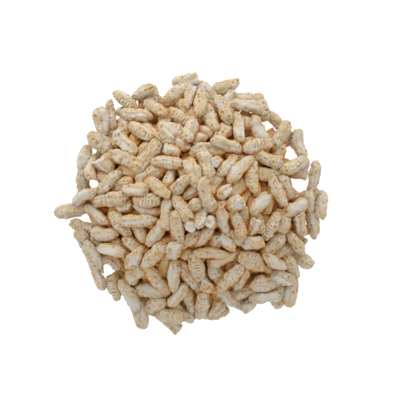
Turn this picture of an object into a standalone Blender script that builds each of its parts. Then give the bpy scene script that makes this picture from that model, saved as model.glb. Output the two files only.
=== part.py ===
"""A loose round heap of puffed brown rice, as it lies when it is tipped out on a table.

The heap is one solid: a smooth core with a flat base, and the grains that show fused on it at true size.
The grains are laid one after another. Each comes down where the heap is still lowest, turns and tips
until it lies deepest, and rests on what is already there. The laying rule works in millimetres, and the
solids are in metres, +Z up, with the origin on the table under the middle of the heap.
"""

import math
from collections import namedtuple

import bmesh
import bpy
import numpy as np
from mathutils import Matrix

MM = 0.001

# The heap's form: a cone at the angle of repose with a rounded crest, one grain thick at its rim.
HEAP_RADIUS = 40.5
REPOSE_ANGLE = math.radians(33)
CREST_ROUNDING = 12.0
HIDDEN_CORE_DEPTH = 9.0  # from the heap's surface down to the first grains laid
FUSED_CORE_DEPTH = 5.0  # from the heap's surface down to the core that the grains are fused on

# A whole puffed grain, and how far single grains differ from it, as shares of each size.
GRAIN_LENGTH = 11.4
GRAIN_WIDTH = 4.1
GRAIN_THICKNESS = 3.7
SIZE_SPREAD = 0.08
MOST_SIZE_CHANGE = 0.2
BROKEN_SHARE = 0.15
BROKEN_LENGTH = (0.5, 0.75)

# The laying rule.
LAYING_SEED = 4
CELL = 0.5
FIELD_REACH = 52.0
PLACES_TRIED = 10
PLACE_JITTER = 1.5
STEEPEST_PITCH = math.radians(40)
PITCHES_TRIED = 13
GAP_SMOOTHING_CELLS = 3
GAP_NOISE = 0.5
LEAST_GAP = 0.6
MOST_OVERSHOOT = 1.2
GIVEN_UP_REACH = 1.6
MOST_MISSES = 900
LEVEL_FAVOUR = 0.3  # mm of depth that a radian of pitch has to be worth
NESTLING = 0.55  # how far a grain sinks between the grains that it rests on
RIM_CLEARANCE = 2.2  # from the line through the rim grains' middles to the outermost other middles

# The fused grains' mesh.
GRAIN_SIDES = 5
GRAIN_RINGS = 4
END_BLUNTNESS = 3.0
END_FULLNESS = 0.8
LEAST_AREA_SHOWN = 10.5  # in square mm, from above
LEAST_HOLD = 0.1  # how deep a grain has to reach into the core to be held by it
CORE_SIDES = 24
CORE_RINGS = 6
SHORTEST_EDGE = 0.001
CREASE_ANGLE = math.radians(75)

# The grains that make the heap's uneven rim, all round it from the west: x, y and length in mm, and the
# heading of the grain's axis in degrees.
RimGrain = namedtuple("RimGrain", "x y heading length")
RIM_GRAINS = [
    RimGrain(-40.3, -2.5, 10, 11.0),
    RimGrain(-35.8, -8.1, -20, 10.8),
    RimGrain(-36.6, -12.0, -60, 9.5),
    RimGrain(-31.9, -23.1, -70, 11.0),
    RimGrain(-26.6, -26.9, -75, 10.2),
    RimGrain(-18.5, -35.9, -70, 10.8),
    RimGrain(-8.6, -38.0, -50, 9.0),
    RimGrain(-4.1, -35.8, -30, 10.0),
    RimGrain(6.0, -35.4, 8, 10.0),
    RimGrain(12.4, -31.5, -30, 10.4),
    RimGrain(17.7, -32.5, 50, 9.4),
    RimGrain(26.5, -29.9, 85, 10.0),
    RimGrain(31.0, -29.0, 75, 10.0),
    RimGrain(34.1, -18.0, -30, 10.0),
    RimGrain(38.0, -6.8, -80, 10.0),
    RimGrain(40.4, -0.7, 88, 10.6),
    RimGrain(37.9, 8.5, 80, 11.0),
    RimGrain(33.8, 11.2, 70, 9.6),
    RimGrain(33.1, 19.1, -78, 10.0),
    RimGrain(27.0, 25.2, -50, 11.0),
    RimGrain(21.1, 30.8, -75, 10.4),
    RimGrain(15.2, 33.6, -8, 9.8),
    RimGrain(10.2, 37.9, 25, 10.4),
    RimGrain(4.2, 35.3, -52, 10.8),
    RimGrain(-3.6, 39.2, 15, 9.0),
    RimGrain(-13.9, 33.5, 90, 9.6),
    RimGrain(-17.0, 35.7, 20, 9.4),
    RimGrain(-22.9, 33.3, -37, 10.4),
    RimGrain(-27.6, 28.3, 98, 10.4),
    RimGrain(-30.5, 26.4, 102, 10.2),
    RimGrain(-30.6, 19.4, -30, 10.4),
    RimGrain(-36.0, 14.1, 80, 9.6),
    RimGrain(-36.4, 5.6, 92, 10.4),
]

# The grains that stand on end among the others: x and y in mm, and the heading that each leans to.
UprightGrain = namedtuple("UprightGrain", "x y heading")
UPRIGHT_PITCH = math.radians(78)
UPRIGHT_RISE = 1.0  # how far the upright grains stand out of the heap's surface
UPRIGHT_GRAINS = [
    UprightGrain(7.0, 13.0, 200),
    UprightGrain(-2.6, -6.5, 320),
    UprightGrain(5.2, -6.3, 140),
    UprightGrain(-0.2, -0.8, 75),
]

# Where the table shows between the rim's grains: x and y in mm, and the spot's radius.
BareSpot = namedtuple("BareSpot", "x y radius")
BARE_SPOTS = [
    BareSpot(-33.0, 6.3, 0.8),
    BareSpot(-36.0, -4.9, 0.7),
    BareSpot(-28.8, -21.4, 1.2),
    BareSpot(23.7, 23.9, 0.9),
    BareSpot(30.8, 15.2, 0.7),
    BareSpot(33.4, 5.9, 1.3),
]
OUT_OF_REACH = 1000.0  # a height in mm that stands for a place where no grain may lie

# A laid grain: its middle in mm, its heading and pitch in radians, half its length, width and thickness,
# and the number of the grain that carries it, or NO_GRAIN on the table and on the bare heap.
Grain = namedtuple("Grain", "x y z heading pitch half carrier")
NO_GRAIN = -1


def heap_surface(radius):
    """The height of the heap's smoothed surface at this distance from its middle."""
    radius = np.minimum(radius, HEAP_RADIUS)
    fall = np.hypot(HEAP_RADIUS, CREST_ROUNDING) - np.hypot(radius, CREST_ROUNDING)
    return GRAIN_THICKNESS + math.tan(REPOSE_ANGLE) * fall


def reach_below(pitch, half):
    """How far a blunt grain at this pitch reaches below its own middle."""
    share = np.linspace(0.0, 1.0, 21)
    ring = np.sqrt(1 - share**END_BLUNTNESS)
    return (share * half[0] * abs(math.sin(pitch)) + ring * half[2] * math.cos(pitch)).max()


class Pile:
    """The grains laid so far, and a height field of what lies on the table."""

    def __init__(self):
        self.axis = np.linspace(-FIELD_REACH, FIELD_REACH, int(2 * FIELD_REACH / CELL) + 1)
        self.x, self.y = np.meshgrid(self.axis, self.axis, indexing="ij")
        self.radius = np.hypot(self.x, self.y)
        self.top = np.maximum(heap_surface(self.radius) - HIDDEN_CORE_DEPTH, 0.0)
        self.owner = np.full(self.top.shape, NO_GRAIN)
        self.bare = np.zeros(self.top.shape)
        for spot in BARE_SPOTS:
            self.bare[np.hypot(self.x - spot.x, self.y - spot.y) < spot.radius] = OUT_OF_REACH
        self.grains = []

    def window(self, x, y, reach):
        """The cells within reach of a place, as two slices."""
        low_x, high_x = np.searchsorted(self.axis, (x - reach, x + reach))
        low_y, high_y = np.searchsorted(self.axis, (y - reach, y + reach))
        return slice(low_x, high_x), slice(low_y, high_y)

    def faces_of(self, x, y, heading, pitch, half):
        """The cells under a grain, and its underside and upper side there, measured from its middle.

        Where the pitch is a column of pitches, each face has a layer for each.
        """
        a, b, c = half
        cells = self.window(x, y, a)
        dx = self.x[cells] - x
        dy = self.y[cells] - y
        along = dx * math.cos(heading) + dy * math.sin(heading)
        across = dy * math.cos(heading) - dx * math.sin(heading)
        sine, cosine = np.sin(pitch), np.cos(pitch)
        square = sine**2 / a**2 + cosine**2 / c**2
        linear = 2 * along * sine * cosine * (1 / a**2 - 1 / c**2)
        rest = along**2 * (cosine**2 / a**2 + sine**2 / c**2) + across**2 / b**2 - 1
        inside = linear**2 - 4 * square * rest
        root = np.sqrt(np.maximum(inside, 0.0))
        return cells, inside > 0, (-linear - root) / (2 * square), (-linear + root) / (2 * square)

    def settle(self, x, y, heading, half):
        """The height of a grain's middle when it is tipped to lie deepest here, its pitch and its carrier."""
        pitches = np.linspace(-STEEPEST_PITCH, STEEPEST_PITCH, PITCHES_TRIED)
        cells, covered, under, _ = self.faces_of(x, y, heading, pitches[:, None, None], half)
        clear = np.where(covered, self.top[cells] + self.bare[cells] - under, -np.inf)
        heights = clear.max(axis=(1, 2))
        lowest = np.argmin(heights + LEVEL_FAVOUR * np.abs(pitches))
        pitch = pitches[lowest]
        carrier = self.owner[cells].flat[np.argmax(clear[lowest])]
        return max(heights[lowest] - NESTLING, reach_below(pitch, half)), pitch, carrier

    def lay(self, grain):
        place = (grain.x, grain.y, grain.heading, grain.pitch, grain.half)
        cells, covered, _, upper = self.faces_of(*place)
        height = grain.z + upper
        highest = covered & (height > self.top[cells])
        self.top[cells] = np.where(highest, height, self.top[cells])
        self.owner[cells] = np.where(highest, len(self.grains), self.owner[cells])
        self.grains.append(grain)

    def areas_shown(self):
        """How much of each grain shows from above, in square millimetres."""
        shown = self.owner[self.owner >= 0]
        return np.bincount(shown, minlength=len(self.grains)) * CELL**2


def drawn_half_sizes(draw):
    """Half the length, width and thickness of the next grain, whole or broken."""
    change = draw.normal(0.0, SIZE_SPREAD, 3).clip(-MOST_SIZE_CHANGE, MOST_SIZE_CHANGE)
    half = np.array([GRAIN_LENGTH, GRAIN_WIDTH, GRAIN_THICKNESS]) / 2 * (1 + change)
    if draw.random() < BROKEN_SHARE:
        half[0] *= draw.uniform(*BROKEN_LENGTH)
    return tuple(half)


def lay_rim(pile, draw):
    for rim in RIM_GRAINS:
        half = (rim.length / 2, *drawn_half_sizes(draw)[1:])
        heading = math.radians(rim.heading)
        height, pitch, carrier = pile.settle(rim.x, rim.y, heading, half)
        pile.lay(Grain(rim.x, rim.y, height, heading, pitch, half, carrier))


def stand_upright(pile, draw):
    """Stands the upright grains in the bare heap, each with its upper end just out of the heap's surface."""
    for upright in UPRIGHT_GRAINS:
        half = drawn_half_sizes(draw)
        top = heap_surface(math.hypot(upright.x, upright.y)) + UPRIGHT_RISE
        height = top - half[0] * math.sin(UPRIGHT_PITCH)
        heading = math.radians(upright.heading)
        pile.lay(Grain(upright.x, upright.y, height, heading, UPRIGHT_PITCH, half, NO_GRAIN))


def smoothed(field):
    """The field averaged over about a grain's width."""
    for _ in range(2):
        shifted = [
            np.roll(field, step, axis)
            for step in (-GAP_SMOOTHING_CELLS, GAP_SMOOTHING_CELLS)
            for axis in (0, 1)
        ]
        field = (field + sum(shifted)) / 5
    return field


def rim_radius(x, y):
    """The distance from the heap's middle to the line through the rim grains' middles, past these places."""
    bearings = [math.atan2(rim.y, rim.x) for rim in RIM_GRAINS]
    radii = [math.hypot(rim.x, rim.y) for rim in RIM_GRAINS]
    return np.interp(np.arctan2(y, x), bearings, radii, period=2 * math.pi)


def fill_heap(pile, draw):
    """Lays grains where the pile is furthest under the heap's surface, until none fits."""
    inside = pile.radius < rim_radius(pile.x, pile.y) - RIM_CLEARANCE
    surface = heap_surface(pile.radius)
    given_up = np.zeros(pile.top.shape)
    misses = 0
    while misses < MOST_MISSES:
        gap = smoothed(surface - pile.top - given_up)
        gap = np.where(inside, gap + draw.normal(0.0, GAP_NOISE, gap.shape), -np.inf)
        deepest = np.unravel_index(np.argmax(gap), gap.shape)
        if gap[deepest] < LEAST_GAP:
            return
        middle_x, middle_y = pile.axis[deepest[0]], pile.axis[deepest[1]]
        half = drawn_half_sizes(draw)
        tries = []
        for _ in range(PLACES_TRIED):
            x, y = draw.uniform(-PLACE_JITTER, PLACE_JITTER, 2) + (middle_x, middle_y)
            heading = draw.uniform(0.0, math.pi)
            height, pitch, carrier = pile.settle(x, y, heading, half)
            overshoot = height - heap_surface(math.hypot(x, y))
            tries.append((overshoot, Grain(x, y, height, heading, pitch, half, carrier)))
        overshoot, grain = min(tries)
        if overshoot + half[2] > MOST_OVERSHOOT:
            misses += 1
            given_up[pile.window(middle_x, middle_y, GIVEN_UP_REACH)] += GIVEN_UP_REACH
        else:
            pile.lay(grain)


def laid_pile():
    draw = np.random.default_rng(LAYING_SEED)
    pile = Pile()
    lay_rim(pile, draw)
    stand_upright(pile, draw)
    fill_heap(pile, draw)
    return pile


def fused_grains(pile):
    """The numbers of the rim grains, of those that show from above, and of those that these need under them."""
    kept = set(range(len(RIM_GRAINS)))
    kept.update(np.flatnonzero(pile.areas_shown() >= LEAST_AREA_SHOWN))
    for number in reversed(range(len(pile.grains))):
        grain = pile.grains[number]
        underside = grain.z - reach_below(grain.pitch, grain.half)
        core_top = heap_surface(math.hypot(grain.x, grain.y)) - FUSED_CORE_DEPTH
        if number in kept and underside > core_top - LEAST_HOLD and grain.carrier != NO_GRAIN:
            kept.add(grain.carrier)
    return sorted(kept)


def clear_scene():
    for obj in list(bpy.data.objects):
        bpy.data.objects.remove(obj)


def new_collection(name):
    collection = bpy.data.collections.new(name)
    bpy.context.scene.collection.children.link(collection)
    return collection


def rice_material():
    material = bpy.data.materials.new("puffed_rice")
    material.use_nodes = True
    shader = material.node_tree.nodes["Principled BSDF"]
    shader.inputs["Base Color"].default_value = (0.69, 0.53, 0.36, 1.0)
    shader.inputs["Roughness"].default_value = 0.75
    shader.inputs["Metallic"].default_value = 0.0
    return material


def grain_object(name, grain, collection):
    """One grain with few sides: a sphere drawn out along its axis, with blunt ends and a flat side down."""
    form = bmesh.new()
    bmesh.ops.create_uvsphere(form, u_segments=GRAIN_SIDES, v_segments=GRAIN_RINGS, radius=1.0)
    lying = Matrix.Rotation(math.pi / 2, 3, "X") @ Matrix.Rotation(math.pi / 2, 3, "Y")
    bmesh.ops.rotate(form, verts=form.verts, matrix=lying)
    side = 2 * math.pi / GRAIN_SIDES
    round_area = math.sqrt(side / math.sin(side))
    for vert in form.verts:
        ring = math.hypot(vert.co.y, vert.co.z)
        if ring > 1e-6:
            vert.co.x = math.copysign(abs(vert.co.x) ** END_FULLNESS, vert.co.x)
            swell = round_area * math.sqrt(1 - abs(vert.co.x) ** END_BLUNTNESS) / ring
            vert.co.y *= swell
            vert.co.z *= swell
    turned = Matrix.Rotation(grain.heading, 4, "Z") @ Matrix.Rotation(-grain.pitch, 4, "Y")
    placed = Matrix.Translation((grain.x * MM, grain.y * MM, grain.z * MM)) @ turned
    form.transform(placed @ Matrix.Diagonal((*(half * MM for half in grain.half), 1.0)))
    mesh = bpy.data.meshes.new(name)
    form.to_mesh(mesh)
    form.free()
    obj = bpy.data.objects.new(name, mesh)
    collection.objects.link(obj)
    return obj


def core_object(name, collection):
    """The smooth core: its profile, down its outer side to a flat base, turned round the Z axis."""
    fall_to_foot = (FUSED_CORE_DEPTH - GRAIN_THICKNESS) / math.tan(REPOSE_ANGLE)
    foot = math.sqrt((math.hypot(HEAP_RADIUS, CREST_ROUNDING) - fall_to_foot) ** 2 - CREST_ROUNDING**2)
    radii = [foot * ring / CORE_RINGS for ring in range(CORE_RINGS)]
    slope = [(radius, 0.0, float(heap_surface(radius)) - FUSED_CORE_DEPTH) for radius in radii]
    profile = [*slope, (foot, 0.0, 0.0), (0.0, 0.0, 0.0)]
    mesh = bpy.data.meshes.new(name)
    points = [(x * MM, y * MM, z * MM) for x, y, z in profile]
    mesh.from_pydata(points, [(i, i + 1) for i in range(len(points) - 1)], [])
    obj = bpy.data.objects.new(name, mesh)
    collection.objects.link(obj)
    turned = obj.modifiers.new("turned", "SCREW")
    turned.steps = CORE_SIDES
    turned.render_steps = CORE_SIDES
    turned.use_merge_vertices = True
    turned.merge_threshold = 0.0001 * MM
    turned.use_smooth_shade = False
    return obj


def apply_modifiers(obj):
    graph = bpy.context.evaluated_depsgraph_get()
    obj.data = bpy.data.meshes.new_from_object(obj.evaluated_get(graph))
    obj.modifiers.clear()


def fuse(core, grains):
    """Joins the grains to the core in one union, and removes their own objects."""
    union = core.modifiers.new("fused", "BOOLEAN")
    union.operation = "UNION"
    union.operand_type = "COLLECTION"
    union.collection = grains
    union.solver = "MANIFOLD"
    apply_modifiers(core)
    for obj in list(grains.objects):
        bpy.data.objects.remove(obj)
    bpy.data.collections.remove(grains)


def keep_outer_body(obj):
    """Leaves the largest closed surface: sealed hollows are filled, and a scrap that touches nothing goes.

    Points that all but meet become one.
    """
    form = bmesh.new()
    form.from_mesh(obj.data)
    bodies = []
    unseen = set(form.verts)
    while unseen:
        body = {unseen.pop()}
        edge_of_body = list(body)
        while edge_of_body:
            vert = edge_of_body.pop()
            found = {edge.other_vert(vert) for edge in vert.link_edges} & unseen
            unseen -= found
            body |= found
            edge_of_body.extend(found)
        bodies.append(body)
    bodies.sort(key=len)
    loose = [vert for body in bodies[:-1] for vert in body]
    bmesh.ops.delete(form, geom=loose, context="VERTS")
    bmesh.ops.remove_doubles(form, verts=form.verts, dist=SHORTEST_EDGE * MM)
    form.to_mesh(obj.data)
    form.free()


def shade(mesh):
    """Smooth shading round each grain, with creases where grains meet."""
    mesh.shade_smooth()
    mesh.set_sharp_from_angle(angle=CREASE_ANGLE)


def main():
    clear_scene()
    heap = new_collection("puffed_brown_rice")
    grains = new_collection("grains")
    pile = laid_pile()
    for number in fused_grains(pile):
        grain_object(f"grain_{number}", pile.grains[number], grains)
    core = core_object("rice_heap", heap)
    apply_modifiers(core)
    fuse(core, grains)
    keep_outer_body(core)
    shade(core.data)
    core.data.materials.clear()
    core.data.materials.append(rice_material())


main()
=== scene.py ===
"""The looks of a loose round heap of puffed brown rice, seen from straight above on a white table.

The heap's grains are laid by the same rule as in the CAD, so each lies where its solid lies. Here each
grain is modelled in full: a blunt puffed kernel with lumps, rows of pits, ribs, a germ hollow, and where
its kind has one, a smooth panel, a crease, a bend or a broken end. Sizes are in millimetres until a mesh is
made, and headings are turned from +X towards +Y.
"""

import math
from collections import defaultdict, namedtuple

import bpy
import numpy as np
from mathutils import Matrix


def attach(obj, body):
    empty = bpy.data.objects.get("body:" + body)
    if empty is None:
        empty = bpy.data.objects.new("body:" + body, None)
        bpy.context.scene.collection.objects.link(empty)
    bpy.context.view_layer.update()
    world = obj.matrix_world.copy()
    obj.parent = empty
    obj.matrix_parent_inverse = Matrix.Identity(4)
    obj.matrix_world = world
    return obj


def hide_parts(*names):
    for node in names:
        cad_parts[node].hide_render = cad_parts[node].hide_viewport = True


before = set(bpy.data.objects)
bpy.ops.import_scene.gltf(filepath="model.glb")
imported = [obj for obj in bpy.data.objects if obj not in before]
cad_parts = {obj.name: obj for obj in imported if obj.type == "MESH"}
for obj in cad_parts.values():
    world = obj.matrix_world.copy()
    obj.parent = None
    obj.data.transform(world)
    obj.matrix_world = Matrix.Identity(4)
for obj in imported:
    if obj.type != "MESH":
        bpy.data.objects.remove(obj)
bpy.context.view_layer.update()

MM = 0.001
TURN = 2 * math.pi

# -------- The laying rule, as in the CAD.

# The heap's form: a cone at the angle of repose with a rounded crest, one grain thick at its rim.
HEAP_RADIUS = 40.5
REPOSE_ANGLE = math.radians(33)
CREST_ROUNDING = 12.0
HIDDEN_CORE_DEPTH = 9.0  # from the heap's surface down to the first grains laid

# A whole puffed grain, and how far single grains differ from it, as shares of each size.
GRAIN_LENGTH = 11.4
GRAIN_WIDTH = 4.1
GRAIN_THICKNESS = 3.7
SIZE_SPREAD = 0.08
MOST_SIZE_CHANGE = 0.2
BROKEN_SHARE = 0.15
BROKEN_LENGTH = (0.5, 0.75)

LAYING_SEED = 4
CELL = 0.5  # of the height field
FIELD_REACH = 52.0  # from the middle to the height field's edge
PLACES_TRIED = 10  # for each grain
PLACE_JITTER = 1.5
STEEPEST_PITCH = math.radians(40)
PITCHES_TRIED = 13
GAP_SMOOTHING_CELLS = 3
GAP_NOISE = 0.5
LEAST_GAP = 0.6  # under the heap's surface, for another grain to be laid there
MOST_OVERSHOOT = 1.2  # of a grain's upper side over the heap's surface
GIVEN_UP_REACH = 1.6  # how far round a place is given up where no grain fits
MOST_MISSES = 900
LEVEL_FAVOUR = 0.3  # mm of depth that a radian of pitch has to be worth
NESTLING = 0.55  # how far a grain sinks between the grains that it rests on
RIM_CLEARANCE = 2.2  # from the line through the rim grains' middles to the outermost other middles
END_BLUNTNESS = 3.0
END_SAMPLES = 21

# The grains that make the heap's uneven rim, all round it from the west: x and y in mm, the heading of the
# grain's axis in degrees, and its length in mm.
RimGrain = namedtuple("RimGrain", "x y heading length")
RIM_ROWS = [
    (-40.3, -2.5, 10, 11.0),
    (-35.8, -8.1, -20, 10.8),
    (-36.6, -12.0, -60, 9.5),
    (-31.9, -23.1, -70, 11.0),
    (-26.6, -26.9, -75, 10.2),
    (-18.5, -35.9, -70, 10.8),
    (-8.6, -38.0, -50, 9.0),
    (-4.1, -35.8, -30, 10.0),
    (6.0, -35.4, 8, 10.0),
    (12.4, -31.5, -30, 10.4),
    (17.7, -32.5, 50, 9.4),
    (26.5, -29.9, 85, 10.0),
    (31.0, -29.0, 75, 10.0),
    (34.1, -18.0, -30, 10.0),
    (38.0, -6.8, -80, 10.0),
    (40.4, -0.7, 88, 10.6),
    (37.9, 8.5, 80, 11.0),
    (33.8, 11.2, 70, 9.6),
    (33.1, 19.1, -78, 10.0),
    (27.0, 25.2, -50, 11.0),
    (21.1, 30.8, -75, 10.4),
    (15.2, 33.6, -8, 9.8),
    (10.2, 37.9, 25, 10.4),
    (4.2, 35.3, -52, 10.8),
    (-3.6, 39.2, 15, 9.0),
    (-13.9, 33.5, 90, 9.6),
    (-17.0, 35.7, 20, 9.4),
    (-22.9, 33.3, -37, 10.4),
    (-27.6, 28.3, 98, 10.4),
    (-30.5, 26.4, 102, 10.2),
    (-30.6, 19.4, -30, 10.4),
    (-36.0, 14.1, 80, 9.6),
    (-36.4, 5.6, 92, 10.4),
]
RIM_GRAINS = [RimGrain(*row) for row in RIM_ROWS]

# The grains that stand on end among the others: x and y in mm, and the heading that each leans to.
UprightGrain = namedtuple("UprightGrain", "x y heading")
UPRIGHT_PITCH = math.radians(78)
UPRIGHT_RISE = 1.0  # how far the upright grains stand out of the heap's surface
UPRIGHT_GRAINS = [
    UprightGrain(7.0, 13.0, 200),
    UprightGrain(-2.6, -6.5, 320),
    UprightGrain(5.2, -6.3, 140),
    UprightGrain(-0.2, -0.8, 75),
]

# Where the table shows between the rim's grains: x and y in mm, and the spot's radius.
BareSpot = namedtuple("BareSpot", "x y radius")
BARE_SPOTS = [
    BareSpot(-33.0, 6.3, 0.8),
    BareSpot(-36.0, -4.9, 0.7),
    BareSpot(-28.8, -21.4, 1.2),
    BareSpot(23.7, 23.9, 0.9),
    BareSpot(30.8, 15.2, 0.7),
    BareSpot(33.4, 5.9, 1.3),
]
OUT_OF_REACH = 1000.0  # a height in mm that stands for a place where no grain may lie

# A laid grain: its middle in mm, its heading and pitch in radians, and half its length, width and thickness.
Grain = namedtuple("Grain", "x y z heading pitch half")
NO_GRAIN = -1  # the owner of a cell that no grain covers


def heap_surface(radius):
    """The height of the heap's smoothed surface at this distance from its middle."""
    radius = np.minimum(radius, HEAP_RADIUS)
    fall = np.hypot(HEAP_RADIUS, CREST_ROUNDING) - np.hypot(radius, CREST_ROUNDING)
    return GRAIN_THICKNESS + math.tan(REPOSE_ANGLE) * fall


def reach_below(pitch, half):
    """How far a blunt grain at this pitch reaches below its own middle."""
    share = np.linspace(0.0, 1.0, END_SAMPLES)
    ring = np.sqrt(1 - share**END_BLUNTNESS)
    return (share * half[0] * abs(math.sin(pitch)) + ring * half[2] * math.cos(pitch)).max()


class Pile:
    """The grains laid so far, and a height field of what lies on the table."""

    def __init__(self):
        self.axis = np.linspace(-FIELD_REACH, FIELD_REACH, int(2 * FIELD_REACH / CELL) + 1)
        self.x, self.y = np.meshgrid(self.axis, self.axis, indexing="ij")
        self.radius = np.hypot(self.x, self.y)
        self.top = np.maximum(heap_surface(self.radius) - HIDDEN_CORE_DEPTH, 0.0)
        self.owner = np.full(self.top.shape, NO_GRAIN)
        self.bare = np.zeros(self.top.shape)
        for spot in BARE_SPOTS:
            self.bare[np.hypot(self.x - spot.x, self.y - spot.y) < spot.radius] = OUT_OF_REACH
        self.grains = []

    def window(self, x, y, reach):
        """The cells within reach of a place, as two slices."""
        low_x, high_x = np.searchsorted(self.axis, (x - reach, x + reach))
        low_y, high_y = np.searchsorted(self.axis, (y - reach, y + reach))
        return slice(low_x, high_x), slice(low_y, high_y)

    def faces_of(self, x, y, heading, pitch, half):
        """The cells under a grain, and its underside and upper side there, measured from its middle.

        Where the pitch is a column of pitches, each face has a layer for each.
        """
        a, b, c = half
        cells = self.window(x, y, a)
        dx = self.x[cells] - x
        dy = self.y[cells] - y
        along = dx * math.cos(heading) + dy * math.sin(heading)
        across = dy * math.cos(heading) - dx * math.sin(heading)
        sine, cosine = np.sin(pitch), np.cos(pitch)
        square = sine**2 / a**2 + cosine**2 / c**2
        linear = 2 * along * sine * cosine * (1 / a**2 - 1 / c**2)
        rest = along**2 * (cosine**2 / a**2 + sine**2 / c**2) + across**2 / b**2 - 1
        inside = linear**2 - 4 * square * rest
        root = np.sqrt(np.maximum(inside, 0.0))
        return cells, inside > 0, (-linear - root) / (2 * square), (-linear + root) / (2 * square)

    def settle(self, x, y, heading, half):
        """The height of a grain's middle when it is tipped to lie deepest here, and its pitch."""
        pitches = np.linspace(-STEEPEST_PITCH, STEEPEST_PITCH, PITCHES_TRIED)
        cells, covered, under, _ = self.faces_of(x, y, heading, pitches[:, None, None], half)
        clear = np.where(covered, self.top[cells] + self.bare[cells] - under, -np.inf)
        heights = clear.max(axis=(1, 2))
        lowest = np.argmin(heights + LEVEL_FAVOUR * np.abs(pitches))
        pitch = pitches[lowest]
        return max(heights[lowest] - NESTLING, reach_below(pitch, half)), pitch

    def lay(self, grain):
        """Adds the grain to the pile and to its height field."""
        place = (grain.x, grain.y, grain.heading, grain.pitch, grain.half)
        cells, covered, _, upper = self.faces_of(*place)
        height = grain.z + upper
        highest = covered & (height > self.top[cells])
        self.top[cells] = np.where(highest, height, self.top[cells])
        self.owner[cells] = np.where(highest, len(self.grains), self.owner[cells])
        self.grains.append(grain)

    def areas_shown(self):
        """How much of each grain shows from above, in square millimetres."""
        shown = self.owner[self.owner != NO_GRAIN]
        return np.bincount(shown, minlength=len(self.grains)) * CELL**2


def drawn_half_sizes(draw):
    """Half the length, width and thickness of the next grain, whole or broken."""
    change = draw.normal(0.0, SIZE_SPREAD, 3).clip(-MOST_SIZE_CHANGE, MOST_SIZE_CHANGE)
    half = np.array([GRAIN_LENGTH, GRAIN_WIDTH, GRAIN_THICKNESS]) / 2 * (1 + change)
    if draw.random() < BROKEN_SHARE:
        half[0] *= draw.uniform(*BROKEN_LENGTH)
    return tuple(half)


def lay_rim(pile, draw):
    """Lays the rim's grains, which carry the first ones of the slope."""
    for rim in RIM_GRAINS:
        half = (rim.length / 2, *drawn_half_sizes(draw)[1:])
        heading = math.radians(rim.heading)
        height, pitch = pile.settle(rim.x, rim.y, heading, half)
        pile.lay(Grain(rim.x, rim.y, height, heading, pitch, half))


def stand_upright(pile, draw):
    """Stands the upright grains in the bare heap, each with its upper end just out of the heap's surface."""
    for upright in UPRIGHT_GRAINS:
        half = drawn_half_sizes(draw)
        top = heap_surface(math.hypot(upright.x, upright.y)) + UPRIGHT_RISE
        height = top - half[0] * math.sin(UPRIGHT_PITCH)
        heading = math.radians(upright.heading)
        pile.lay(Grain(upright.x, upright.y, height, heading, UPRIGHT_PITCH, half))


def smoothed(field):
    """The field averaged over about a grain's width."""
    for _ in range(2):
        shifted = [
            np.roll(field, step, axis)
            for step in (-GAP_SMOOTHING_CELLS, GAP_SMOOTHING_CELLS)
            for axis in (0, 1)
        ]
        field = (field + sum(shifted)) / (1 + len(shifted))
    return field


def rim_radius(x, y):
    """The distance from the heap's middle to the line through the rim grains' middles, past these places."""
    bearings = [math.atan2(rim.y, rim.x) for rim in RIM_GRAINS]
    radii = [math.hypot(rim.x, rim.y) for rim in RIM_GRAINS]
    return np.interp(np.arctan2(y, x), bearings, radii, period=TURN)


def fill_heap(pile, draw):
    """Lays grains where the pile is furthest under the heap's surface, until none fits."""
    inside = pile.radius < rim_radius(pile.x, pile.y) - RIM_CLEARANCE
    surface = heap_surface(pile.radius)
    given_up = np.zeros(pile.top.shape)
    misses = 0
    while misses < MOST_MISSES:
        gap = smoothed(surface - pile.top - given_up)
        gap = np.where(inside, gap + draw.normal(0.0, GAP_NOISE, gap.shape), -np.inf)
        deepest = np.unravel_index(np.argmax(gap), gap.shape)
        if gap[deepest] < LEAST_GAP:
            return
        middle_x, middle_y = pile.axis[deepest[0]], pile.axis[deepest[1]]
        half = drawn_half_sizes(draw)
        tries = []
        for _ in range(PLACES_TRIED):
            x, y = draw.uniform(-PLACE_JITTER, PLACE_JITTER, 2) + (middle_x, middle_y)
            heading = draw.uniform(0.0, math.pi)
            height, pitch = pile.settle(x, y, heading, half)
            overshoot = height - heap_surface(math.hypot(x, y))
            tries.append((overshoot, Grain(x, y, height, heading, pitch, half)))
        overshoot, grain = min(tries)
        if overshoot + half[2] > MOST_OVERSHOOT:
            misses += 1
            given_up[pile.window(middle_x, middle_y, GIVEN_UP_REACH)] += GIVEN_UP_REACH
        else:
            pile.lay(grain)


def laid_pile():
    """The whole heap: the rim first, then the upright grains, then all others."""
    draw = np.random.default_rng(LAYING_SEED)
    pile = Pile()
    lay_rim(pile, draw)
    stand_upright(pile, draw)
    fill_heap(pile, draw)
    return pile


# -------- One grain's form. A grain lies along X in its own frame, with Z up.

FORM_SEED = 21
SHOWN_AREA = 3.0  # a grain that shows fewer square mm from above counts as buried
SHOWN_MESH = (48, 37)  # rings along a grain, and points round it
BURIED_MESH = (14, 12)
CRUMB_MESH = (20, 18)
SMALL = 1e-6

# The round form: how full its cross-section and its two ends are, where 2 is an ellipse, the power that
# rounds the ends, how much thicker one end may be, and how much narrower or wider than its solid a grain is.
SECTION_FULLNESS = (1.9, 2.6)
END_FULLNESS = (1.9, 3.8)
END_POWER = 0.52
TAPER = 0.14
PUFFING = (0.88, 1.17)
END_CROWDING = 0.3  # how much closer the rings lie towards the ends
UPPER_SIDE_FAVOUR = 0.45  # how much closer the points lie on the upper side

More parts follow.
